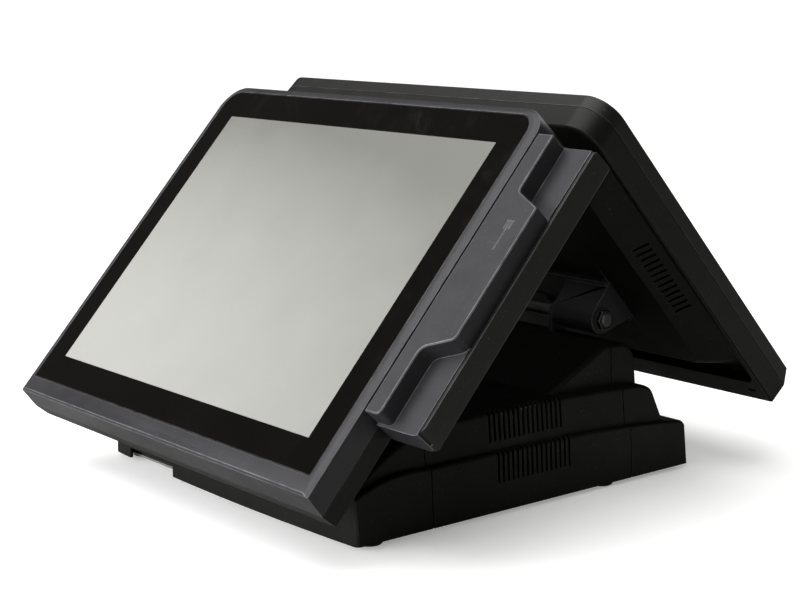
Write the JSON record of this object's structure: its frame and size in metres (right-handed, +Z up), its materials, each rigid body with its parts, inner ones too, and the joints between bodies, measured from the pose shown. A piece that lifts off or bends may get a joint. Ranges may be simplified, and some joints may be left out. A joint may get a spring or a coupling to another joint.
{
  "type": "pos touchscreen terminal",
  "caption": "Checkout terminal: a stepped base carries tilting displays back to back, with a card reader on the side of the operator's display.",
  "frame": {"origin": "centre of the four fixing holes, in the plane of the base plate's underside", "axes": "+Z up, +X to the operator's right, -Y towards the operator"},
  "size_m": [0.4051, 0.4467, 0.2805],
  "materials": {
    "housing_plastic": "fine spark-eroded texture, near black",
    "textured_plastic": "grained charcoal plastic",
    "display_glass": "black-printed cover glass, polished",
    "lcd": "liquid crystal panel, unlit grey",
    "steel_plate": "zinc-plated sheet steel",
    "hinge_steel": "black powder-coated steel",
    "shaft_steel": "ground steel",
    "screw_steel": "blackened screw",
    "foot_rubber": "soft black rubber",
    "board": "green solder mask",
    "heat_sink_alloy": "extruded aluminium",
    "chip": "moulded package",
    "metal_case": "plated steel case",
    "speaker_cone": "coated paper cone in a steel basket"
  },
  "bodies": {
    "base": {"base_front_cover": "housing_plastic", "base_middle_housing": "housing_plastic", "base_rear_cover": "housing_plastic", "base_plate": "steel_plate", "rubber_feet": "foot_rubber", "base_screws": "screw_steel", "board_standoffs": "shaft_steel", "hinge_frame": "hinge_steel", "operator_hinge_shaft": "shaft_steel", "operator_friction_washers": "shaft_steel", "operator_torque_nuts": "screw_steel", "customer_hinge_shaft": "shaft_steel", "customer_friction_washers": "shaft_steel", "customer_torque_nuts": "screw_steel", "mainboard": "board", "processor": "chip", "heat_sink": "heat_sink_alloy", "memory_module": "board", "solid_state_drive": "metal_case", "power_supply": "metal_case", "loudspeaker": "speaker_cone", "io_connectors": "metal_case", "power_inlet": "chip", "power_switch": "chip"},
    "operator_display": {"operator_touch_glass": "display_glass", "operator_bezel_housing": "housing_plastic", "operator_rear_cover": "housing_plastic", "operator_lcd_panel": "lcd", "operator_chassis_plate": "steel_plate", "operator_touch_board": "board", "operator_cover_screws": "screw_steel", "operator_arm_screws": "screw_steel", "operator_hinge_arms": "hinge_steel", "reader_inner_housing": "textured_plastic", "reader_outer_housing": "housing_plastic", "head_spring": "shaft_steel", "reader_board": "board", "reader_bracket": "hinge_steel", "reader_screws": "screw_steel"},
    "customer_display": {"customer_display_glass": "display_glass", "customer_bezel_housing": "housing_plastic", "customer_rear_cover": "housing_plastic", "customer_lcd_panel": "lcd", "customer_chassis_plate": "steel_plate", "customer_panel_board": "board", "customer_cover_screws": "screw_steel", "customer_arm_screws": "screw_steel", "customer_hinge_arms": "hinge_steel"},
    "power_button": {"power_button": "housing_plastic"},
    "magnetic_head": {"magnetic_head": "metal_case"}
  },
  "joints": [
    {"name": "operator_display_tilt", "type": "hinge", "parent": "base", "child": "operator_display", "pos_m": [0, -0.05, 0.085], "axis": [1, 0, 0], "range_deg": [0, 10]},
    {"name": "customer_display_tilt", "type": "hinge", "parent": "base", "child": "customer_display", "pos_m": [0, 0.136, 0.109], "axis": [-1, 0, 0], "range_deg": [0, 18]},
    {"name": "power_button_press", "type": "slide", "parent": "base", "child": "power_button", "axis": [1, 0, 0], "range_m": [0, 0.0012], "stiffness_N_per_m": 1500, "springref_m": -0.0006},
    {"name": "magnetic_head_float", "type": "slide", "parent": "operator_display", "child": "magnetic_head", "axis": [-1, 0, 0], "range_m": [0, 0.0008], "stiffness_N_per_m": 1500, "springref_m": -0.0004}
  ]
}
